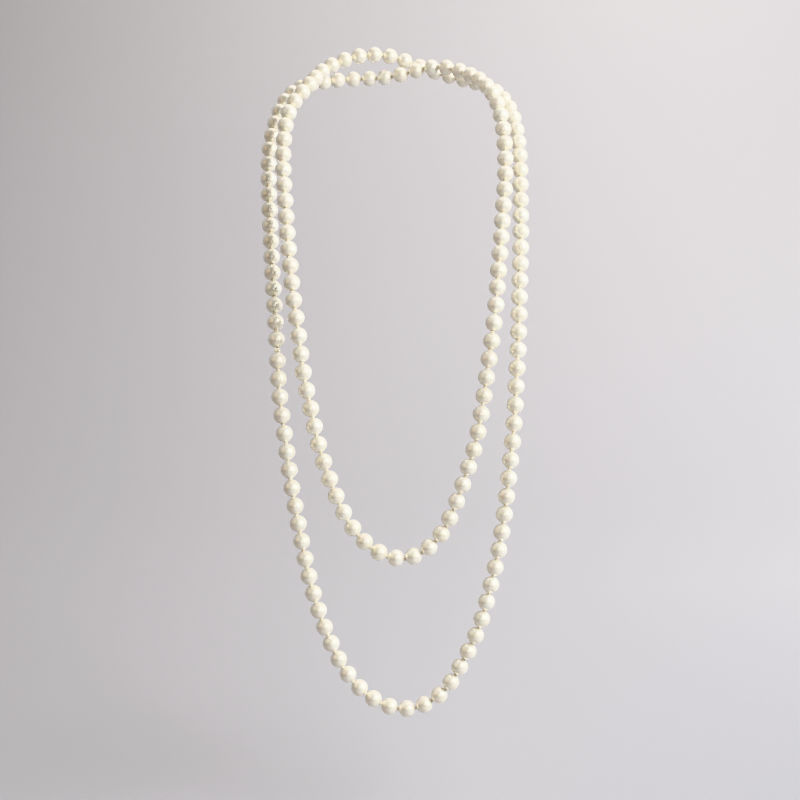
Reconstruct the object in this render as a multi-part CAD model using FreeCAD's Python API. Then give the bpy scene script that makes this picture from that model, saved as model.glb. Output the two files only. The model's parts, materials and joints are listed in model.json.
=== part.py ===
import FreeCAD, Part
import math
import os

# Long rope of round imitation pearls, knotted between every two pearls, endless, worn in two
# turns: an inner row and a longer outer row that hang on the chest and cross behind the neck.
# Millimetres. Origin: middle of the neck opening at the height of the nape. +Z up,
# the rows hang towards -Y (front), X runs to the right for somebody who faces the wearer.

# ---- driving dimensions ----------------------------------------------------------------
PEARL_COUNT = 172        # pearls on the endless silk
PEARL_D = 8.0            # outside diameter of one pearl
ROUGH_GAP = 0.7          # between two pearls, before the rope is closed on itself
BORE_D = 1.0             # drilled hole through the pearl
MOUTH_D = 1.5            # each mouth of the hole is broken to this, at 45 degrees
SILK_D = 0.6             # silk, doubled and twisted
KNOT_D = 1.4             # knot between two pearls, drawn down into the two mouths
GAP_WAVE = 0.12          # hand tied knots leave gaps that vary by this much, each way
FINISH_GAP = 1.7         # extra length of silk taken by the finishing knot
KNOT_FLAT = 1.0          # length of a knot along the silk
CORE_D = 1.2             # where the two ends of the silk cross inside the finishing knot
LOBE_D = 2.1             # the finishing knot has two lobes of this size
LOBE_OFF = 0.5           # each lobe sits this far to its side of the silk
SILK_IN = 0.36           # silk between two knots ends this far from the middle of each
PIVOT_CLEAR = 0.78       # a hinged run of silk starts this far from the middle of its pivot knot

# ---- where the runs of the rope bend ---------------------------------------------------
# heights of the knots that serve as pivots, and of the knot that finishes the silk
INNER_SHOULDER_Z = -30.0
INNER_CHEST_Z = -101.0
INNER_BOW_Z = -172.0
OUTER_SHOULDER_Z = -41.0
OUTER_CHEST_Z = -106.0
OUTER_WAIST_Z = -178.0
OUTER_BOW_Z = -245.0
FINISH_Z = -131.0

# ---- how each row lies: stations from the nape down to the lowest pearl -----------------
# x is the distance from the middle of the neck, to the left (L) or to the right (R)
INNER_L = [
    (24, 40, 3), (36, 31.5, -1.5), (42, 19, -6.5), (47, 5.5, -12), (53, -6, -19.5),
    (55.5, -19, -32), (55.5, -30.5, -46), (54, -41.5, -61), (52.5, -52, -76),
    (50.5, -62.5, -91), (48.5, -71, -106), (46, -77.5, -121), (44, -82, -137),
    (40.5, -85.5, -153.5), (37, -88, -170.5), (31.5, -91, -187.5), (24.5, -93, -204.5),
    (14, -95, -218.3), (6.5, -95.8, -223),
]
INNER_R = [
    (22, 39, -1.5), (34, 30, -4), (41.5, 18.5, -7), (47, 5.5, -12), (51, -9, -21.5),
    (52.7, -22, -36), (52.5, -33, -50), (51, -44, -65), (49.5, -54, -79),
    (48, -62.5, -91.5), (46.5, -71, -106.5), (44.5, -77.5, -121.5), (42, -82.5, -138.5),
    (39.5, -86, -156), (36, -88.7, -173.5), (31, -91, -189), (25, -93.2, -205.5),
    (17, -95, -218), (10, -95.8, -223),
]
OUTER_L = [
    (24, 49, -8.5), (39, 42, -9.5), (49.5, 30, -11.5), (57, 16, -17), (61.3, 3, -27),
    (63.5, -9, -38), (63.7, -19.5, -51), (62.7, -29.5, -64.5), (61.6, -38.8, -77),
    (60.5, -48.3, -89), (59.3, -57.3, -101), (57.8, -66, -113.5), (56.6, -74, -127),
    (55.6, -80.7, -142), (54.2, -85.7, -155.5), (52, -90, -170.5), (49.8, -93, -188),
    (47, -95.2, -205), (44, -97.3, -222), (40.7, -99, -237.5), (36, -101, -253.5),
    (30, -102.7, -269), (21, -104.5, -284.3), (9.5, -106, -294),
]
OUTER_R = [
    (22, 49.5, -5.5), (38, 40.5, -9), (50, 25, -13), (56.7, 9.5, -20.5),
    (59.8, -6, -31.8), (60.5, -19.5, -44.5), (60.2, -31, -58), (59.8, -41.5, -72),
    (59.2, -51.5, -85.5), (58.3, -61, -99), (57.5, -70, -113.5), (56.8, -77, -127.5),
    (55.8, -82.5, -143), (55, -87, -157), (53.6, -91.3, -173), (51.8, -94.3, -190),
    (49.8, -96.6, -208), (46.8, -98.8, -226), (42.8, -100.8, -243), (38, -102.6, -260),
    (31, -104.2, -274.5), (23.5, -105.8, -287.5), (14, -106.7, -295),
]
NAPE_UNDER = (0, 44.5, -6.5)      # the strand that lies against the neck where the two cross
NAPE_OVER = (0, 49, 2.5)          # the strand that passes over it
INNER_LOWEST = (2, -96, -225.2)
OUTER_LOWEST = (3, -107, -297.8)


def vec(station, side):
    return FreeCAD.Vector(side * station[0], station[1], station[2])


def route_stations():
    """One endless trip: over the nape, inner left, inner right, nape, outer left, outer right."""
    trip = [vec(NAPE_OVER, 1)]
    for station in INNER_L:
        trip.append(vec(station, -1))
    trip.append(vec(INNER_LOWEST, 1))
    for station in reversed(INNER_R):
        trip.append(vec(station, 1))
    trip.append(vec(NAPE_UNDER, 1))
    for station in OUTER_L:
        trip.append(vec(station, -1))
    trip.append(vec(OUTER_LOWEST, 1))
    for station in reversed(OUTER_R):
        trip.append(vec(station, 1))
    return trip


STATIONS = route_stations()
ROUTE = Part.BSplineCurve()
ROUTE.interpolate(Points=STATIONS, PeriodicFlag=True)
START = ROUTE.FirstParameter
END = ROUTE.LastParameter
STRIDE = (END - START) / 400.0     # far less than one pearl
HALVINGS = 34                      # bisection steps, down to well under a micrometre


def place(u):
    return ROUTE.value(START + (u - START) % (END - START))


def step_along(u, chord):
    """Parameter of the next point of the route that is one chord away from the point at u."""
    here = place(u)
    low = u
    high = u + STRIDE
    while (place(high) - here).Length < chord:
        low = high
        high += STRIDE
    for turn in range(HALVINGS):
        middle = 0.5 * (low + high)
        if (place(middle) - here).Length < chord:
            low = middle
        else:
            high = middle
    return 0.5 * (low + high)


def slack(index, finish):
    """Uneven part of one gap, repeatable, and the room for the finishing knot."""
    uneven = GAP_WAVE * math.sin(2.399 * index) * math.cos(0.71 * index + 0.4)
    if index in (finish - 1, finish):
        uneven += 0.5 * FINISH_GAP
    return uneven


def string_pearls(gap, finish):
    """Walk once round with every pearl on its own chord; returns knots and how far it got."""
    knots = [place(START)]
    u = START
    for index in range(PEARL_COUNT):
        u = step_along(u, PEARL_D + gap + slack(index, finish))
        knots.append(place(u))
    return knots, u - END


def closed_gap(finish):
    """The even gap that makes the last knot fall on the first one."""
    low = 0.5 * ROUGH_GAP
    high = 2.0 * ROUGH_GAP
    for turn in range(HALVINGS):
        middle = 0.5 * (low + high)
        knots, over = string_pearls(middle, finish)
        if over < 0:
            low = middle
        else:
            high = middle
    return 0.5 * (low + high)


def nearest_knot(knots, first, last, height):
    return min(range(first, last + 1), key=lambda k: abs(knots[k].z - height))


def lowest_knot(knots, first, last):
    return min(range(first, last + 1), key=lambda k: knots[k].z)



NO_FINISH = -9
rough, over = string_pearls(ROUGH_GAP, NO_FINISH)
HALF = min(range(PEARL_COUNT), key=lambda k: (rough[k] - vec(NAPE_UNDER, 1)).Length)
OUTER_LOW = lowest_knot(rough, HALF, PEARL_COUNT)
FINISH = nearest_knot(rough, HALF, OUTER_LOW, FINISH_Z)
GAP = closed_gap(FINISH)
KNOTS, over = string_pearls(GAP, FINISH)

# ---- the runs of the rope between two pivots -------------------------------------------
INNER_LOW = lowest_knot(KNOTS, 0, HALF)
OUTER_LOW = lowest_knot(KNOTS, HALF, PEARL_COUNT)


def pivots(first, last, heights):
    return [nearest_knot(KNOTS, first, last, height) for height in heights]


INNER_Z = (INNER_SHOULDER_Z, INNER_CHEST_Z, INNER_BOW_Z)
OUTER_Z = (OUTER_SHOULDER_Z, OUTER_CHEST_Z, OUTER_WAIST_Z, OUTER_BOW_Z)
IL1, IL2, IL3 = pivots(0, INNER_LOW, INNER_Z)
IR1, IR2, IR3 = pivots(INNER_LOW, HALF, INNER_Z)
OL1, OL2, OL3, OL4 = pivots(HALF, OUTER_LOW, OUTER_Z)
OR1, OR2, OR3, OR4 = pivots(OUTER_LOW, PEARL_COUNT, OUTER_Z)

# name, first knot, last knot, and whether the run owns the knot at each of its ends
RUNS = [
    ("nape_over", OR1, PEARL_COUNT + IL1, True, True),
    ("inner_collar_left", IL1, IL2, False, True),
    ("inner_chest_left", IL2, IL3, False, True),
    ("inner_bow", IL3, IR3, False, False),
    ("inner_chest_right", IR3, IR2, True, False),
    ("inner_collar_right", IR2, IR1, True, False),
    ("nape_under", IR1, OL1, True, True),
    ("outer_collar_left", OL1, OL2, False, True),
    ("outer_chest_left", OL2, OL3, False, True),
    ("outer_waist_left", OL3, OL4, False, True),
    ("outer_bow", OL4, OR4, False, False),
    ("outer_waist_right", OR4, OR3, True, False),
    ("outer_chest_right", OR3, OR2, True, False),
    ("outer_collar_right", OR2, OR1, True, False),
]
LOOSE_RUNS = ("inner_bow", "outer_bow")      # every pearl of these is a part of its own


def knot(index):
    return KNOTS[index % PEARL_COUNT]


def along(index):
    """Unit direction of the silk through pearl number index."""
    return (knot(index + 1) - knot(index)).normalize()


def pearl_centre(index):
    """Half way between its two knots; the pearls beside the finishing knot keep clear of it."""
    middle = (knot(index) + knot(index + 1)) * 0.5
    if index == FINISH - 1:
        middle = middle - along(index) * (0.25 * FINISH_GAP)
    if index == FINISH:
        middle = middle + along(index) * (0.25 * FINISH_GAP)
    return middle


# ---- solids ----------------------------------------------------------------------------
Z_AXIS = FreeCAD.Vector(0, 0, 1)


def drilled_pearl():
    """One pearl at the origin, drilled along Z, both mouths broken."""
    radius = 0.5 * PEARL_D
    body = Part.makeSphere(radius)
    hole = Part.makeCylinder(0.5 * BORE_D, 2 * PEARL_D, Z_AXIS * -PEARL_D)
    body = body.cut(hole)
    rim = math.sqrt(radius ** 2 - (0.5 * MOUTH_D) ** 2)
    deep = 0.5 * (MOUTH_D - BORE_D)
    past = 0.5                           # the cutting cone runs on past the crown
    for side in (1, -1):
        foot = Z_AXIS * (side * (rim - deep))
        cone = Part.makeCone(0.5 * BORE_D, 0.5 * MOUTH_D + past, deep + past, foot, Z_AXIS * side)
        body = body.cut(cone)
    return body


PEARL = drilled_pearl()


def pearl(index):
    turn = FreeCAD.Rotation(Z_AXIS, along(index))
    stone = PEARL.copy()
    stone.Placement = FreeCAD.Placement(pearl_centre(index), turn)
    return stone


def knot_ball(index, diameter, ahead, behind):
    """A ball with a flat at each end, where the silk goes in, square to the silk there."""
    radius = 0.5 * diameter
    flat = math.degrees(math.asin(KNOT_FLAT / diameter))
    run = FreeCAD.Vector(0, 0, 0)
    if behind:
        run = run + along(index - 1)
    if ahead:
        run = run + along(index)
    return Part.makeSphere(radius, knot(index), run, -flat, flat, 360)


def silk_run(first, last, own_first, own_last):
    """Silk through the pearls of one run with its knots, in one piece."""
    pieces = []
    for index in range(first, last):
        start_in = SILK_IN if index > first or own_first else PIVOT_CLEAR
        end_in = SILK_IN if index < last - 1 or own_last else PIVOT_CLEAR
        tail = knot(index) + along(index) * start_in
        head = knot(index + 1) - along(index) * end_in
        pieces.append(Part.makeCylinder(0.5 * SILK_D, (head - tail).Length, tail, head - tail))
    first_knot = first if own_first else first + 1
    last_knot = last if own_last else last - 1
    for index in range(first_knot, last_knot + 1):
        size = CORE_D if index == FINISH else KNOT_D
        pieces.append(knot_ball(index, size, index < last, index > first))
    return pieces[0].multiFuse(pieces[1:]).Solids[0]


def finishing_knot(silk):
    """Two lobes tied round the silk where its two ends meet."""
    run = (along(FINISH - 1) + along(FINISH)).normalize()
    side = run.cross(FreeCAD.Vector(0, 1, 0)).normalize()
    lobes = []
    for sign in (1, -1):
        middle = knot(FINISH) + side * (sign * LOBE_OFF)
        lobes.append(Part.makeSphere(0.5 * LOBE_D, middle, side))
    return lobes[0].fuse(lobes[1]).removeSplitter().cut(silk)


os.makedirs("parts", exist_ok=True)
for name, first, last, own_first, own_last in RUNS:
    silk = silk_run(first, last, own_first, own_last)
    silk.exportStep("parts/silk_" + name + ".step")
    stones = [pearl(index) for index in range(first, last)]
    if name in LOOSE_RUNS:
        for count, stone in enumerate(stones):
            stone.exportStep("parts/pearl_%s_%02d.step" % (name, count + 1))
    else:
        Part.makeCompound(stones).exportStep("parts/pearls_" + name + ".step")
    if first < FINISH < last:
        finishing_knot(silk).exportStep("parts/finishing_knot.step")
    print(name, len(stones), "pearls, silk", silk.ShapeType, len(silk.Solids), silk.isValid())
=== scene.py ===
import json
import math

import bpy
import numpy as np
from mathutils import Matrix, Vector

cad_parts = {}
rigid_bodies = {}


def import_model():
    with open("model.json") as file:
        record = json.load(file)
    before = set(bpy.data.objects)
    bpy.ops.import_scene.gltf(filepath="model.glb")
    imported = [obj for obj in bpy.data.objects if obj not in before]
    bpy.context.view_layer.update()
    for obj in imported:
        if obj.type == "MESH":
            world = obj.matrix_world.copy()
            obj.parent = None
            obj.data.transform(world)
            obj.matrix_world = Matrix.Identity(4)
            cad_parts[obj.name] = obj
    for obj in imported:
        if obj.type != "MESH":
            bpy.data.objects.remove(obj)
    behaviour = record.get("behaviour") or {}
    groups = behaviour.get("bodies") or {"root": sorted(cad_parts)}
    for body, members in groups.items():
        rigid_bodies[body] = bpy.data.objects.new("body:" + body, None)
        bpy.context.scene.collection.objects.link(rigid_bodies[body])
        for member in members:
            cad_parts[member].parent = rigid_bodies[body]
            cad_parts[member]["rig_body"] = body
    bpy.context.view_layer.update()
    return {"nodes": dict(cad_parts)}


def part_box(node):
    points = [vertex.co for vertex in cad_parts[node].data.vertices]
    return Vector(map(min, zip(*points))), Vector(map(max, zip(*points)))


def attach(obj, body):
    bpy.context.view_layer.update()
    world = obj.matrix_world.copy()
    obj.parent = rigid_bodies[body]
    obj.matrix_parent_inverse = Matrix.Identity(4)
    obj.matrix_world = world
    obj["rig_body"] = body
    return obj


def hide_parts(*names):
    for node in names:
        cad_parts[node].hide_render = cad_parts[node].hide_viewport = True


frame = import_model()

# A long rope of imitation pearls, knotted between every two pearls and worn in two rows.
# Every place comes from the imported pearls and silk; metres throughout.

MM = 0.001

# ---- sizes of the pearls --------------------------------------------------------------------
PEARL_R = 4.0 * MM
PEARL_PITCH = 8.66 * MM        # mean distance from one pearl's middle to the next
BORE_R = 0.5 * MM
LIP_R = 0.80 * MM              # where the rounded mouth of the hole meets the ball
# (radius, height) in millimetres, down the rounded mouth and into the hole
MOUTH = ((0.765, 3.912), (0.70, 3.868), (0.60, 3.775), (0.53, 3.700), (0.50, 3.60), (0.50, 1.20))
SEGMENTS = 48                  # round each pearl
RINGS = 36                     # from mouth to mouth
OUT_OF_ROUND = 0.003           # share of the radius
RIPPLE = 0.016 * MM            # height of the soft unevenness of the coating
RIPPLE_WAVES = 9
RIPPLE_SLOW = 4.0              # its waves, in radians along one pearl radius
RIPPLE_FAST = 11.0
RIPPLE_FADE = 1.4 * MM         # it grows from nothing at the mouth over this distance
WORN_REACH = 0.42 * MM         # the coating is thin and dull this far round a hole
MERGE = 1.0 * MM               # joined faces whose middles are this close belong to one pearl
SHELL_DEPTH = 0.15 * MM        # points no deeper than this are on the ball
HOLE_DEPTH = 0.03 * MM         # points deeper than this are in the hole or its mouth

# ---- sizes of the silk ----------------------------------------------------------------------
STRAND_R = 0.15 * MM           # the silk is two strands laid together
STRAND_OFF = 0.14 * MM         # middle of each strand from the middle of the thread
STRAND_STEP = 0.12 * MM        # between two points along a strand
STRAND_SIDES = 7
LAY = 1.5 * MM                 # length of one full twist of the two strands
FINE_STEP = 0.25               # a curve is first worked out in this share of its final spacing
CLOSEST = 0.3 * STRAND_STEP    # the thread drops a point that is nearer than this to the last one
IN_PEARL = (-0.8, -0.4, 0.0, 0.4, 0.8)   # the thread's points in a pearl, in pearl radii
CORE_R = 0.20 * MM             # the thread runs this far from a knot's own axis inside it
WRAP_R = 0.62 * MM             # middle of the turn that a knot takes round itself
PIVOT_WRAP_R = 0.44 * MM       # a knot that two runs turn about is drawn tighter, clear of both mouths
WRAP_TURNS = 1.9
WRAP_VARIES = 0.15             # turns more or fewer, from knot to knot
WRAP_STEPS = 16
WRAP_SWELL = 4                 # the turns widen in the first of this many parts, narrow in the last
CLIMB = (0.0, 0.35, 0.7, 1.0)  # shares of the way up through a knot, before the turns
DROP = (0.0, 0.3, 0.65, 1.0)   # and of the way out of it, after them
KNOT_ROOM = 0.05 * MM          # a knot's turn stays this far inside half of the gap
KNOT_REACH = 0.74 * MM         # nearer than this to a knot's middle there is only its own silk
KNOT_ENTRY = 0.75 * MM         # the thread enters and leaves a knot this far from its middle
PIVOT_ENTRY = 0.30 * MM        # the same on the side of a run that turns about the knot
TAIL_IN = 0.25 * MM            # a run that ends in another run's knot ends this far from its middle
LOBE_R = 1.05 * MM             # the finishing knot is two balls of wound silk
LOBE_OFF = 0.5 * MM
LOBE_TURNS = 5.0
LOBE_STEPS = 90
TAIL = 1.3 * MM                # length of its cut ends
TAIL_START = 0.5               # they leave a lobe at this share of its radius
TAIL_OUT = 0.9                 # their direction: square to the rope and to the line of the lobes,
TAIL_APART = 0.5               # away from each other
TAIL_ALONG = 0.25              # and along the rope
TAIL_CURL = 0.12               # how far a tip bends along the rope, in lengths of the tail
TAIL_POINTS = (0.0, 0.3, 0.6, 1.0)
UPRIGHT = 0.9                  # a direction with more upward share than this is nearly upright
NUDGE = 1e-6                   # keeps a direction from vanishing
SEED = 7

# ---- camera ---------------------------------------------------------------------------------
LENS = 64.0                    # millimetres, as the sensor's width is
SENSOR = 36.0
AIM = Vector((0.0014, -0.084, -0.150))
AWAY = 0.667
LOOK_DOWN = math.radians(15)

camera_data = bpy.data.cameras.new("view_camera")
camera_data.lens = LENS
camera_data.sensor_width = SENSOR
camera = bpy.data.objects.new("view_camera", camera_data)
bpy.context.scene.collection.objects.link(camera)
camera.location = AIM + AWAY * Vector((0, -math.cos(LOOK_DOWN), math.sin(LOOK_DOWN)))
camera.rotation_euler = (math.pi / 2 - LOOK_DOWN, 0, 0)
bpy.context.scene.camera = camera
bpy.context.scene.view_settings.view_transform = "Khronos PBR Neutral"


def rgb(red, green, blue):
    """A display colour, 0 to 255, as the linear colour that a shader takes."""
    linear = []
    for level in (red / 255, green / 255, blue / 255):
        linear.append(level / 12.92 if level < 0.04045 else ((level + 0.055) / 1.055) ** 2.4)
    return (*linear, 1.0)


# ---- looks of the pearls --------------------------------------------------------------------
PEARL_LIGHT = rgb(243, 242, 230)
PEARL_DEEP = rgb(239, 235, 218)
PEARL_PATCH = rgb(228, 218, 189)
PEARL_BLUSH = rgb(242, 228, 216)
PEARL_FLECK = rgb(248, 245, 233)
PEARL_WORN = rgb(214, 196, 160)
CLOUD_SIZE = 2.6 * MM
CLOUD_RANGE = (0.36, 0.64)     # the noise between these values is spread from 0 to 1
CLOUD_SHARE = 0.55             # how much of a colour shows where its pattern is strongest
BLUSH_SIZE = 3.7 * MM
BLUSH_RANGE = (0.42, 0.66)
BLUSH_SHARE = 0.5
FLECK_SIZE = 0.55 * MM
FLECK_RANGE = (0.35, 0.70)
FLECK_SHARE = 0.22
WORN_SHARE = 0.8
WORN_ROUGHER = 0.25
PEARL_ROUGH = (0.28, 0.37)     # under about 0.275, denoised renders show specks
WAVE_SIZE = 1.3 * MM
WAVE_DEPTH = 0.03 * MM
WAVE_STRENGTH = 0.55
SKIN_SIZE = 0.28 * MM
SKIN_DEPTH = 0.006 * MM
SKIN_STRENGTH = 0.25
PEARL_SHADER = {
    "Metallic": 0.42,
    "IOR": 1.55,
    "Specular IOR Level": 0.6,
    "Coat Weight": 0.8,
    "Coat Roughness": 0.07,
    "Coat IOR": 1.5,
    "Sheen Weight": 0.18,
    "Sheen Roughness": 0.45,
    "Sheen Tint": rgb(255, 246, 232),
}

# ---- looks of the silk ----------------------------------------------------------------------
SILK_LIGHT = rgb(255, 251, 236)
SILK_DEEP = rgb(254, 247, 226)
# painted shade between the silk's fibres, laid on by the fibre noise
SILK_PAINTED_SHADE = rgb(246, 232, 200)
SOIL_SIZE = 1.8 * MM
SOIL_RANGE = (0.35, 0.65)
SOIL_SHARE = 0.6
FIBRE_SIZE = 0.09 * MM
FIBRE_RANGE = (0.3, 0.7)
FIBRE_SHARE = 0.3
SILK_ROUGH = (0.36, 0.55)
FUZZ_SIZE = 0.07 * MM
FUZZ_DEPTH = 0.02 * MM
FUZZ_STRENGTH = 0.6
SILK_SHADER = {
    "Specular IOR Level": 0.65,
    "Sheen Weight": 0.8,
    "Sheen Roughness": 0.55,
    "Sheen Tint": rgb(255, 250, 238),
}

# ---- floor and light ------------------------------------------------------------------------
PAPER_LIGHT = rgb(171, 168, 169)
PAPER_DEEP = rgb(163, 161, 163)
# painted shade: the floor is painted darker than the paper higher up
FLOOR_PAINTED_SHADE = rgb(156, 154, 157)
NEAR_HEIGHT = 0.6              # above the floor, where the painted shade of the floor has passed into the paper's own colour
PAPER_DIM = rgb(92, 94, 100)   # under the side softbox, so that the floor there is no brighter
DIM_RIGHT = (0.05, 0.60)       # it grows between these places to the right
DIM_FRONT = (0.20, -0.20)      # and from behind the part to in front of it
GRAIN_SIZE = 0.9 * MM
SHADE_SIZE = 0.5
SHADE_SHARE = 0.4
PAPER_RANGE = (0.3, 0.7)
PAPER_ROUGH = (0.6, 0.75)
FLOOR_Z = -0.36
FLOOR_FRONT = 2.5
FLOOR_SIDE = 2.5
SWEEP_Y = 0.35
SWEEP_R = 1.1
SWEEP_STEPS = 24
PAPER_TOP = 2.2
FADE_SIDE = (0.70, 1.40)       # the paper fades out between these distances to each side
FADE_FRONT = (0.60, 1.40)      # and in front
ROOM_FRONT = (0.105, 0.086, 0.058, 1.0)
ROOM_BACK = (0.80, 0.80, 0.84, 1.0)
ROOM_TURN = (-0.8, 0.5)        # from the light of the front to that of the back, by direction
ROOM_SEEN = (0.66, 0.64, 0.67, 1.0)
ROOM_POWER = 0.8
# name, place, size, power, colour; the one in front reaches the knots in the gaps
LIGHTS = (
    ("key_softbox", (0.70, -0.52, 0.33), (0.60, 0.80), 15.5, (0.95, 0.98, 1.0)),
    ("side_softbox", (0.98, -0.02, 0.12), (1.3, 0.9), 10.0, (0.92, 0.975, 1.0)),
    ("fill_softbox", (-0.70, -0.50, 0.25), (0.7, 0.7), 1.15, (1.0, 0.78, 0.52)),
    ("top_softbox", (0.1, 0.45, 0.75), (0.9, 0.6), 3.0, (1.0, 0.94, 0.84)),
    ("front_softbox", (0.10, -0.85, 0.10), (0.35, 0.35), 0.7, (1.0, 0.98, 0.94)),
)
WASH = ("backdrop_wash", (0.55, 0.35, 0.95), (0.8, 0.5), 24.0, (1.0, 0.98, 0.965))
WASH_AIM = (0.1, 1.4, 0.3)     # the paper behind the part


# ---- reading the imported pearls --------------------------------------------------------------
def node_points(name):
    """The points of a CAD node's mesh."""
    mesh = frame["nodes"][name].data
    points = np.zeros(len(mesh.vertices) * 3, np.float32)
    mesh.vertices.foreach_get("co", points)
    return points.reshape(-1, 3).astype(float)


def islands(name):
    """Point sets of the separate solids in a node."""
    points = node_points(name)
    unique, same = np.unique(points, axis=0, return_inverse=True)
    same = same.reshape(-1)
    parent = list(range(len(unique)))

    def root(k):
        while parent[k] != k:
            parent[k] = parent[parent[k]]
            k = parent[k]
        return k

    for polygon in frame["nodes"][name].data.polygons:
        corners = [root(same[v]) for v in polygon.vertices]
        for corner in corners[1:]:
            parent[root(corner)] = root(corners[0])
    roots = np.array([root(k) for k in range(len(unique))])
    groups = []
    for label in sorted(set(roots.tolist())):
        group = unique[roots == label]
        middle = 0.5 * (group.min(0) + group.max(0))
        for other in groups:
            if np.linalg.norm(other["middle"] - middle) < MERGE:
                other["points"] = np.vstack((other["points"], group))
                break
        else:
            groups.append({"middle": middle, "points": group})
    return [group["points"] for group in groups]


def read_pearl(points):
    """Middle and direction of the hole of one drilled ball."""
    middle = 0.5 * (points.min(0) + points.max(0))
    away = np.linalg.norm(points - middle, axis=1)
    shell = points[away > PEARL_R - SHELL_DEPTH]
    table = np.hstack((2 * shell, np.ones((len(shell), 1))))
    centre = np.linalg.lstsq(table, (shell ** 2).sum(1), rcond=None)[0][:3]
    inside = points[np.linalg.norm(points - centre, axis=1) < PEARL_R - HOLE_DEPTH] - centre
    axis = np.linalg.svd(inside, full_matrices=False)[2][0]
    return centre, axis


pearls = []
for name in sorted(frame["nodes"]):
    if name.startswith("pearl"):
        for points in islands(name):
            centre, axis = read_pearl(points)
            pearls.append({"node": name, "centre": centre, "axis": axis})


# ---- the order of the pearls on the silk ----------------------------------------------------
def thread_up(pearls):
    """Puts the pearls in the order of the silk, every axis pointing onwards.

    End 2k is where pearl k's axis points, and end 2k + 1 is opposite it.
    """
    ends = []
    for pearl in pearls:
        ends.append(pearl["centre"] + 0.5 * PEARL_PITCH * pearl["axis"])
        ends.append(pearl["centre"] - 0.5 * PEARL_PITCH * pearl["axis"])
    ends = np.array(ends)
    partner = []
    for k in range(len(ends)):
        gaps = np.linalg.norm(ends - ends[k], axis=1)
        gaps[[k, k ^ 1]] = np.inf      # a pearl is never its own neighbour
        partner.append(int(np.argmin(gaps)))
    start = max(range(len(pearls)), key=lambda k: pearls[k]["centre"][2])
    exit_end = 2 * start if ends[2 * start][0] < ends[2 * start + 1][0] else 2 * start + 1
    ordered = []
    while len(ordered) < len(pearls):
        pearl = pearls[exit_end // 2]
        if exit_end % 2 == 1:
            pearl["axis"] = -pearl["axis"]
        ordered.append(pearl)
        exit_end = partner[exit_end] ^ 1
    return ordered


rope = thread_up(pearls)
COUNT = len(rope)


def middle_knots():
    """The middle of every gap: knot k lies before pearl k."""
    knots = []
    for k in range(COUNT):
        before = rope[k - 1]
        after = rope[k]
        half = 0.5 * np.linalg.norm(after["centre"] - before["centre"])
        out = before["centre"] + half * before["axis"]
        back = after["centre"] - half * after["axis"]
        knots.append(0.5 * (out + back))
    return knots


def silk_node(pearl_node):
    """The run of silk that goes through a pearl."""
    run = pearl_node.replace("pearls_", "").replace("pearl_", "")
    return "silk_" + run.rstrip("0123456789").rstrip("_")


def knot_owner(k, clouds):
    """The run of silk that a knot belongs to: the one with the most points close to it."""
    near = {}
    for name in {silk_node(rope[k - 1]["node"]), silk_node(rope[k]["node"])}:
        away = np.linalg.norm(clouds[name] - knots[k], axis=1)
        near[name] = int((away < KNOT_REACH).sum())
    return max(sorted(near), key=lambda name: near[name])


knots = middle_knots()
clouds = {name: node_points(name) for name in sorted({silk_node(pearl["node"]) for pearl in rope})}
owners = [knot_owner(k, clouds) for k in range(COUNT)]
finish_low, finish_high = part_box("finishing_knot")
finish_middle = np.array(0.5 * (finish_low + finish_high))
FINISH = min(range(COUNT), key=lambda k: np.linalg.norm(knots[k] - finish_middle))


# ---- meshes ---------------------------------------------------------------------------------
def unit(v):
    """The same direction, one long."""
    return v / np.linalg.norm(v)


def across(axis):
    """Two directions square to an axis and to each other."""
    helper = np.array((0.0, 0.0, 1.0)) if abs(axis[2]) < UPRIGHT else np.array((1.0, 0.0, 0.0))
    first = unit(np.cross(axis, helper))
    return first, np.cross(axis, first)


def build_mesh(name, points, faces, layers):
    """A smooth mesh object, with each layer's values painted on its points."""
    mesh = bpy.data.meshes.new(name)
    mesh.from_pydata(points, [], faces)
    for layer in layers:
        values = mesh.attributes.new(layer, "FLOAT", "POINT")
        values.data.foreach_set("value", np.array(layers[layer], np.float32))
    mesh.polygons.foreach_set("use_smooth", [True] * len(mesh.polygons))
    mesh.update()
    piece = bpy.data.objects.new(name, mesh)
    bpy.context.scene.collection.objects.link(piece)
    return piece


# ---- the pearls -----------------------------------------------------------------------------
def ball_profile():
    """(radius, height) of one drilled pearl, down the outside and back up through the hole."""
    lip = math.asin(LIP_R / PEARL_R)
    outside = []
    for k in range(RINGS + 1):
        angle = lip + (math.pi - 2 * lip) * k / RINGS
        outside.append((PEARL_R * math.sin(angle), PEARL_R * math.cos(angle)))
    mouth = [(r * MM, h * MM) for r, h in MOUTH]
    down = [(r, -h) for r, h in mouth]
    up = list(reversed(mouth))
    return outside + down + up


PROFILE = ball_profile()


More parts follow.
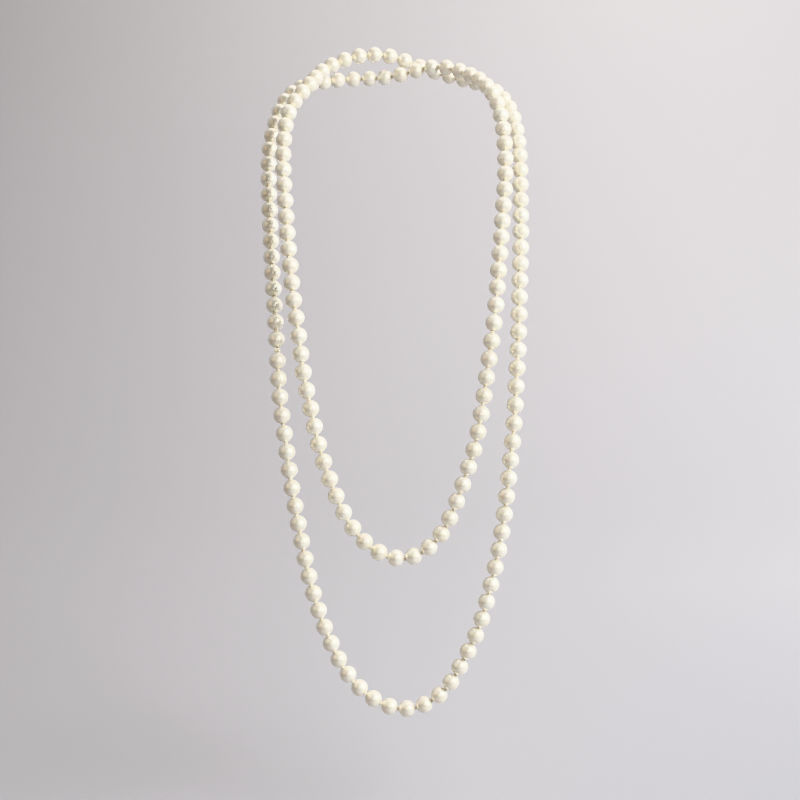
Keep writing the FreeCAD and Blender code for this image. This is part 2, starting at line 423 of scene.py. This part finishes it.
def pearl_shape(centre, axis, draw):
    """Points, faces and the two painted values of one pearl."""
    first, second = across(axis)
    turn = draw.uniform(0, 2 * math.pi)
    waves = draw.normal(size=(RIPPLE_WAVES, 3))
    speeds = draw.uniform(RIPPLE_SLOW, RIPPLE_FAST, RIPPLE_WAVES)
    waves *= (speeds / np.linalg.norm(waves, axis=1))[:, None]
    phases = draw.uniform(0, 2 * math.pi, RIPPLE_WAVES)
    egg = draw.uniform(0, math.pi)
    tone = draw.uniform(0, 1)
    ring_angles = turn + np.arange(SEGMENTS) * 2 * math.pi / SEGMENTS
    sides = np.outer(np.cos(ring_angles), first) + np.outer(np.sin(ring_angles), second)
    points = []
    worn = []
    for k, (radius, height) in enumerate(PROFILE):
        ring = radius * sides + height * axis
        if k <= RINGS:
            fade = min(1.0, max(0.0, (radius - LIP_R) / RIPPLE_FADE))
            fade = fade * fade * (3 - 2 * fade)
            normal = ring / PEARL_R
            lift = RIPPLE * np.sin(normal @ waves.T + phases).sum(1) / math.sqrt(RIPPLE_WAVES)
            lift += OUT_OF_ROUND * PEARL_R * np.cos(2 * (ring_angles - egg)) * radius / PEARL_R
            ring = ring + normal * (fade * lift)[:, None]
        points.append(ring + centre)
        worn += [max(0.0, 1 - max(0.0, radius - BORE_R) / WORN_REACH)] * SEGMENTS
    faces = []
    count = len(PROFILE)
    for k in range(count):
        here = k * SEGMENTS
        following = (k + 1) % count * SEGMENTS
        for s in range(SEGMENTS):
            beside = (s + 1) % SEGMENTS
            faces.append((here + s, following + s, following + beside, here + beside))
    return np.vstack(points), faces, [tone] * (count * SEGMENTS), worn


def pearl_piece(node, members, draw):
    """The pearls of one CAD node, as one piece."""
    points = []
    faces = []
    tones = []
    worn = []
    for pearl in members:
        shape, quads, tone, edge = pearl_shape(pearl["centre"], pearl["axis"], draw)
        base = len(tones)
        points.append(shape)
        faces += [tuple(base + v for v in quad) for quad in quads]
        tones += tone
        worn += edge
    piece = build_mesh("bead_" + node.split("_", 1)[1], np.vstack(points).tolist(), faces,
                       {"tone": tones, "worn": worn})
    piece.data.materials.append(pearl_coat)
    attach(piece, frame["nodes"][node]["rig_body"])
    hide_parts(node)


# ---- the silk -------------------------------------------------------------------------------
def knot_path(k, draw):
    """Middle line of the thread through one knot: up inside it, down round it, and out."""
    here = owners[k]
    enter = KNOT_ENTRY if silk_node(rope[k - 1]["node"]) == here else PIVOT_ENTRY
    leave = KNOT_ENTRY if silk_node(rope[k]["node"]) == here else PIVOT_ENTRY
    wrap = WRAP_R if enter == leave else PIVOT_WRAP_R
    axis = unit(rope[k - 1]["axis"] + rope[k]["axis"])
    first, second = across(axis)
    gap = np.linalg.norm(rope[k]["centre"] - rope[k - 1]["centre"]) - 2 * PEARL_R
    rise = 0.5 * gap - KNOT_ROOM
    start = draw.uniform(0, 2 * math.pi)
    turns = WRAP_TURNS + draw.uniform(-WRAP_VARIES, WRAP_VARIES)
    line = []

    def at(radius, angle, height):
        side = math.cos(angle) * first + math.sin(angle) * second
        return knots[k] + radius * side + height * axis

    for share in CLIMB:
        line.append(at(CORE_R * share, start + math.pi, -enter + (enter + rise) * share))
    for s in range(WRAP_STEPS + 1):
        share = s / WRAP_STEPS
        swell = min(1.0, WRAP_SWELL * share, WRAP_SWELL * (1 - share))
        radius = CORE_R + (wrap - CORE_R) * math.sin(0.5 * math.pi * swell)
        line.append(at(radius, start + math.pi + 2 * math.pi * turns * share, rise * (1 - 2 * share)))
    last = start + math.pi + 2 * math.pi * turns
    for share in DROP:
        line.append(at(CORE_R * (1 - share), last, -rise + (leave + rise) * share))
    return line


def smooth(line, spacing):
    """The same line with evenly spaced points on a Catmull-Rom curve."""
    line = np.array(line)
    padded = np.vstack((2 * line[0] - line[1], line, 2 * line[-1] - line[-2]))
    fine = []
    for k in range(len(line) - 1):
        a, b, c, d = padded[k:k + 4]
        pieces = max(1, int(round(np.linalg.norm(c - b) / (FINE_STEP * spacing))))
        for t in np.arange(pieces) / pieces:
            fine.append(0.5 * (2 * b + (c - a) * t + (2 * a - 5 * b + 4 * c - d) * t * t
                               + (3 * b - a - 3 * c + d) * t ** 3))
    fine.append(line[-1])
    fine = np.array(fine)
    lengths = np.concatenate(([0], np.cumsum(np.linalg.norm(np.diff(fine, axis=0), axis=1))))
    wanted = np.linspace(0, lengths[-1], max(2, int(round(lengths[-1] / spacing)) + 1))
    return np.stack([np.interp(wanted, lengths, fine[:, i]) for i in range(3)], axis=1)


def tube(line, radius, sides, points, faces):
    """Adds a closed tube round a line."""
    base = len(points)
    tangents = np.gradient(line, axis=0)
    normal = across(unit(tangents[0]))[0]
    for k, here in enumerate(line):
        tangent = unit(tangents[k])
        normal = unit(normal - tangent * (normal @ tangent))
        side = np.cross(tangent, normal)
        for s in range(sides):
            angle = 2 * math.pi * s / sides
            points.append(here + radius * (math.cos(angle) * normal + math.sin(angle) * side))
    for k in range(len(line) - 1):
        for s in range(sides):
            a = base + k * sides + s
            b = base + k * sides + (s + 1) % sides
            faces.append((a, b, b + sides, a + sides))
    faces.append(tuple(base + s for s in reversed(range(sides))))
    faces.append(tuple(base + (len(line) - 1) * sides + s for s in range(sides)))


def two_strands(line, points, faces, phase):
    """Adds two strands laid round each other along a line."""
    tangents = np.gradient(line, axis=0)
    normal = across(unit(tangents[0]))[0]
    step = np.linalg.norm(np.diff(line, axis=0), axis=1)
    along = np.concatenate(([0], np.cumsum(step)))
    strands = ([], [])
    for k, here in enumerate(line):
        tangent = unit(tangents[k])
        normal = unit(normal - tangent * (normal @ tangent))
        side = np.cross(tangent, normal)
        angle = phase + 2 * math.pi * along[k] / LAY
        offset = STRAND_OFF * (math.cos(angle) * normal + math.sin(angle) * side)
        strands[0].append(here + offset)
        strands[1].append(here - offset)
    for strand in strands:
        tube(np.array(strand), STRAND_R, STRAND_SIDES, points, faces)


def add_silk(name, node, points, faces):
    """Makes the silk of one CAD node a piece."""
    piece = build_mesh(name, [tuple(point) for point in points], faces, {})
    piece.data.materials.append(silk_twist)
    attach(piece, frame["nodes"][node]["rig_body"])
    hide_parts(node)


def silk_piece(name, draw):
    """The silk of one run, with the knots that belong to it."""
    members = [k for k in range(COUNT) if silk_node(rope[k]["node"]) == name]
    first = next(k for k in members if (k - 1) % COUNT not in members)
    line = []
    for step in range(len(members) + 1):
        k = (first + step) % COUNT
        if owners[k] == name and k != FINISH:
            line += list(smooth(knot_path(k, draw), STRAND_STEP))
        elif k == FINISH:
            line.append(knots[k])
        elif step == 0:
            line.append(knots[k] + TAIL_IN * rope[k]["axis"])
        else:
            line.append(knots[k] - TAIL_IN * rope[k - 1]["axis"])
        if step < len(members):
            for share in IN_PEARL:
                line.append(rope[k]["centre"] + share * PEARL_R * rope[k]["axis"])
    line = np.array(line)
    keep = [0]
    for k in range(1, len(line)):
        if np.linalg.norm(line[k] - line[keep[-1]]) > CLOSEST:
            keep.append(k)
    points = []
    faces = []
    two_strands(line[keep], points, faces, draw.uniform(0, 2 * math.pi))
    add_silk("thread_" + name.split("_", 1)[1], name, points, faces)


def finishing_piece(draw):
    """Two lobes of wound silk side by side, and the two cut ends."""
    axis = unit(rope[FINISH - 1]["axis"] + rope[FINISH]["axis"])
    cloud = node_points("finishing_knot") - finish_middle
    spread = np.linalg.svd(cloud - (cloud @ axis)[:, None] * axis, full_matrices=False)[2][0]
    spread = unit(spread - axis * (spread @ axis))
    third = np.cross(axis, spread)
    radius = LOBE_R - STRAND_OFF - STRAND_R
    points = []
    faces = []
    for way in (-1, 1):
        middle = knots[FINISH] + way * LOBE_OFF * spread
        line = []
        tilt = draw.uniform(0, math.pi)
        for s in range(LOBE_STEPS + 1):
            share = s / LOBE_STEPS
            around = 2 * math.pi * LOBE_TURNS * share
            lean = tilt + math.pi * share
            pole = math.cos(lean) * spread + math.sin(lean) * third
            level = unit(np.cross(pole, axis) + NUDGE * third)
            up = np.cross(level, pole)
            line.append(middle + radius * (math.cos(around) * level + math.sin(around) * up))
        two_strands(smooth(line, STRAND_STEP), points, faces, draw.uniform(0, 2 * math.pi))
        start = middle + TAIL_START * LOBE_R * third
        side = unit(TAIL_OUT * third + TAIL_APART * way * spread + TAIL_ALONG * way * axis)
        tail = [start + side * TAIL * t + TAIL_CURL * TAIL * t * t * axis for t in TAIL_POINTS]
        two_strands(smooth(tail, STRAND_STEP), points, faces, 0.0)
    add_silk("knot_finishing", "finishing_knot", points, faces)


# ---- materials ------------------------------------------------------------------------------
MIX_A = 6                      # the colour sockets of a Mix node, by number
MIX_B = 7
MIX_RESULT = 2


class Nodes:
    """Short way to make and link shader nodes."""

    def __init__(self, name):
        self.material = bpy.data.materials.new(name)
        self.material.use_nodes = True
        self.tree = self.material.node_tree
        self.shader = self.tree.nodes["Principled BSDF"]
        self.place = self.tree.nodes.new("ShaderNodeTexCoord").outputs["Object"]

    def link(self, output, socket):
        self.tree.links.new(output, socket)

    def into(self, output, socket):
        """Links a value to one of the shader's own sockets."""
        self.link(output, self.shader.inputs[socket])

    def settings(self, values):
        """Sets what is the same all over the surface, on the shader's own sockets."""
        for socket in values:
            self.shader.inputs[socket].default_value = values[socket]

    def noise(self, size, detail, rough):
        """Noise whose features are about size across; 0 to 1."""
        node = self.tree.nodes.new("ShaderNodeTexNoise")
        node.inputs["Scale"].default_value = 1 / size
        node.inputs["Detail"].default_value = detail
        node.inputs["Roughness"].default_value = rough
        self.link(self.place, node.inputs["Vector"])
        return node.outputs["Fac"]

    def painted(self, layer):
        """The values that build_mesh painted on the points."""
        node = self.tree.nodes.new("ShaderNodeAttribute")
        node.attribute_name = layer
        return node.outputs["Fac"]

    def spread(self, value, low, high, out_low=0.0, out_high=1.0):
        """A value between low and high as one between the two others."""
        node = self.tree.nodes.new("ShaderNodeMapRange")
        node.inputs["From Min"].default_value = low
        node.inputs["From Max"].default_value = high
        node.inputs["To Min"].default_value = out_low
        node.inputs["To Max"].default_value = out_high
        self.link(value, node.inputs["Value"])
        return node.outputs["Result"]

    def scaled(self, value, low, high):
        """A value between 0 and 1 as one between low and high."""
        return self.spread(value, 0.0, 1.0, low, high)

    def fade(self, value, full, gone):
        """1 up to full, softly down to 0 at gone."""
        result = self.spread(value, full, gone, 1.0, 0.0)
        result.node.interpolation_type = "SMOOTHSTEP"
        return result

    def mix(self, share, a, b):
        """Colour a, with a share of colour b laid over it."""
        node = self.tree.nodes.new("ShaderNodeMix")
        node.data_type = "RGBA"
        self.link(share, node.inputs["Factor"])
        for socket, value in ((node.inputs[MIX_A], a), (node.inputs[MIX_B], b)):
            if isinstance(value, tuple):
                socket.default_value = value
            else:
                self.link(value, socket)
        return node.outputs[MIX_RESULT]

    def math(self, kind, a, b):
        """Two values put together by one operation."""
        node = self.tree.nodes.new("ShaderNodeMath")
        node.operation = kind
        for socket, value in zip(node.inputs, (a, b)):
            if isinstance(value, float):
                socket.default_value = value
            else:
                self.link(value, socket)
        return node.outputs[0]

    def bump(self, height, depth, strength, normal=None):
        """A surface raised by a pattern, on top of another bump where one is given."""
        node = self.tree.nodes.new("ShaderNodeBump")
        node.inputs["Distance"].default_value = depth
        node.inputs["Strength"].default_value = strength
        self.link(height, node.inputs["Height"])
        if normal is not None:
            self.link(normal, node.inputs["Normal"])
        return node.outputs["Normal"]


def make_pearl_coat():
    """Semi-metallic lacquer under a clear coat: cloudy, blushed, flecked, and worn at the holes."""
    look = Nodes("pearl_coat")
    cloud = look.spread(look.noise(CLOUD_SIZE, detail=2.0, rough=0.5), *CLOUD_RANGE)
    fleck = look.spread(look.noise(FLECK_SIZE, detail=3.0, rough=0.6), *FLECK_RANGE)
    blush = look.spread(look.noise(BLUSH_SIZE, detail=1.0, rough=0.5), *BLUSH_RANGE, 0.0, BLUSH_SHARE)
    worn = look.painted("worn")
    colour = look.mix(look.painted("tone"), PEARL_LIGHT, PEARL_DEEP)
    colour = look.mix(look.scaled(cloud, 0.0, CLOUD_SHARE), colour, PEARL_PATCH)
    colour = look.mix(blush, colour, PEARL_BLUSH)
    colour = look.mix(look.scaled(fleck, 0.0, FLECK_SHARE), colour, PEARL_FLECK)
    colour = look.mix(look.scaled(worn, 0.0, WORN_SHARE), colour, PEARL_WORN)
    look.into(colour, "Base Color")
    rough = look.spread(look.math("ADD", cloud, fleck), 0.0, 2.0, *PEARL_ROUGH)
    look.into(look.math("ADD", rough, look.scaled(worn, 0.0, WORN_ROUGHER)), "Roughness")
    waves = look.bump(look.noise(WAVE_SIZE, detail=1.0, rough=0.5), WAVE_DEPTH, WAVE_STRENGTH)
    skin = look.bump(look.noise(SKIN_SIZE, detail=2.0, rough=0.55), SKIN_DEPTH, SKIN_STRENGTH, waves)
    look.into(skin, "Normal")
    look.settings(PEARL_SHADER)
    return look.material


def make_silk():
    """Soft cream silk: slightly soiled patches, and painted shade between its fibres."""
    look = Nodes("silk_twist")
    soil = look.spread(look.noise(SOIL_SIZE, detail=2.0, rough=0.5), *SOIL_RANGE)
    fibre = look.spread(look.noise(FIBRE_SIZE, detail=3.0, rough=0.6), *FIBRE_RANGE)
    colour = look.mix(look.scaled(soil, 0.0, SOIL_SHARE), SILK_LIGHT, SILK_DEEP)
    # painted shade between the fibres
    colour = look.mix(look.scaled(fibre, 0.0, FIBRE_SHARE), colour, SILK_PAINTED_SHADE)
    look.into(colour, "Base Color")
    look.into(look.scaled(fibre, *SILK_ROUGH), "Roughness")
    look.into(look.bump(look.noise(FUZZ_SIZE, detail=2.0, rough=0.6), FUZZ_DEPTH, FUZZ_STRENGTH), "Normal")
    look.settings(SILK_SHADER)
    return look.material


pearl_coat = make_pearl_coat()
silk_twist = make_silk()


# ---- putting it together --------------------------------------------------------------------
draw = np.random.RandomState(SEED)
by_node = {}
for pearl in rope:
    by_node.setdefault(pearl["node"], []).append(pearl)
for node in by_node:
    pearl_piece(node, by_node[node], draw)
for name in sorted(set(owners)):
    silk_piece(name, draw)
finishing_piece(draw)


# ---- floor and light ------------------------------------------------------------------------
def make_paper():
    """Plain matt paper with painted shade on the floor and near the side softbox; transparent far to the
    sides and front.
    """
    look = Nodes("studio_paper")
    grain = look.spread(look.noise(GRAIN_SIZE, detail=3.0, rough=0.6), *PAPER_RANGE)
    shade = look.spread(look.noise(SHADE_SIZE, detail=1.0, rough=0.5), *PAPER_RANGE)
    split = look.tree.nodes.new("ShaderNodeSeparateXYZ")
    look.link(look.place, split.inputs[0])
    far = look.spread(split.outputs["Z"], FLOOR_Z, FLOOR_Z + NEAR_HEIGHT)
    right = look.spread(split.outputs["X"], *DIM_RIGHT)
    front = look.spread(split.outputs["Y"], *DIM_FRONT)
    colour = look.mix(look.scaled(shade, 0.0, SHADE_SHARE), PAPER_LIGHT, PAPER_DEEP)
    # painted shade on the floor, passing into the paper's colour up to NEAR_HEIGHT
    colour = look.mix(far, FLOOR_PAINTED_SHADE, colour)
    colour = look.mix(look.math("MULTIPLY", right, front), colour, PAPER_DIM)
    look.into(colour, "Base Color")
    look.into(look.scaled(grain, *PAPER_ROUGH), "Roughness")
    beside = look.fade(look.math("ABSOLUTE", split.outputs["X"], 0.0), *FADE_SIDE)
    ahead = look.fade(look.math("MULTIPLY", split.outputs["Y"], -1.0), *FADE_FRONT)
    look.into(look.math("MULTIPLY", beside, ahead), "Alpha")
    return look.material


def add_floor():
    """Plain paper under the part, curved up far behind it; it fades into the room elsewhere."""
    profile = [(-FLOOR_FRONT, FLOOR_Z)]
    for k in range(SWEEP_STEPS + 1):
        angle = 0.5 * math.pi * k / SWEEP_STEPS
        profile.append((SWEEP_Y + SWEEP_R * math.sin(angle), FLOOR_Z + SWEEP_R * (1 - math.cos(angle))))
    profile.append((SWEEP_Y + SWEEP_R, FLOOR_Z + PAPER_TOP))
    points = []
    faces = []
    for y, z in profile:
        points += [(-FLOOR_SIDE, y, z), (FLOOR_SIDE, y, z)]
    for k in range(len(profile) - 1):
        faces.append((2 * k, 2 * k + 1, 2 * k + 3, 2 * k + 2))
    floor = build_mesh("studio_floor", points, faces, {})
    floor.data.materials.append(make_paper())


def add_light(aim, name, place, size, power, colour):
    """A soft rectangular light that the camera doesn't see."""
    lamp = bpy.data.lights.new(name, "AREA")
    lamp.shape = "RECTANGLE"
    lamp.size, lamp.size_y = size
    lamp.energy = power
    lamp.color = colour
    holder = bpy.data.objects.new(name, lamp)
    bpy.context.scene.collection.objects.link(holder)
    holder.location = place
    holder.visible_camera = False
    holder.rotation_mode = "QUATERNION"
    holder.rotation_quaternion = (Vector(aim) - Vector(place)).to_track_quat("-Z", "Y")


def add_world():
    """Soft room light: bright over and behind the part, dimmer on the camera's side."""
    world = bpy.data.worlds.new("studio_room")
    bpy.context.scene.world = world
    world.use_nodes = True
    tree = world.node_tree
    place = tree.nodes.new("ShaderNodeTexCoord")
    split = tree.nodes.new("ShaderNodeSeparateXYZ")
    tree.links.new(place.outputs["Generated"], split.inputs[0])
    turn = tree.nodes.new("ShaderNodeMapRange")
    turn.interpolation_type = "SMOOTHSTEP"
    turn.inputs["From Min"].default_value = ROOM_TURN[0]
    turn.inputs["From Max"].default_value = ROOM_TURN[1]
    tree.links.new(split.outputs["Y"], turn.inputs["Value"])
    lit = tree.nodes.new("ShaderNodeMix")
    lit.data_type = "RGBA"
    lit.inputs[MIX_A].default_value = ROOM_FRONT
    lit.inputs[MIX_B].default_value = ROOM_BACK
    tree.links.new(turn.outputs["Result"], lit.inputs["Factor"])
    seen = tree.nodes.new("ShaderNodeLightPath")
    shown = tree.nodes.new("ShaderNodeMix")
    shown.data_type = "RGBA"
    shown.inputs[MIX_B].default_value = ROOM_SEEN
    tree.links.new(lit.outputs[MIX_RESULT], shown.inputs[MIX_A])
    tree.links.new(seen.outputs["Is Camera Ray"], shown.inputs["Factor"])
    back = tree.nodes["Background"]
    tree.links.new(shown.outputs[MIX_RESULT], back.inputs["Color"])
    back.inputs["Strength"].default_value = ROOM_POWER


add_floor()
add_world()
for light in LIGHTS:
    add_light(AIM, *light)
add_light(WASH_AIM, *WASH)
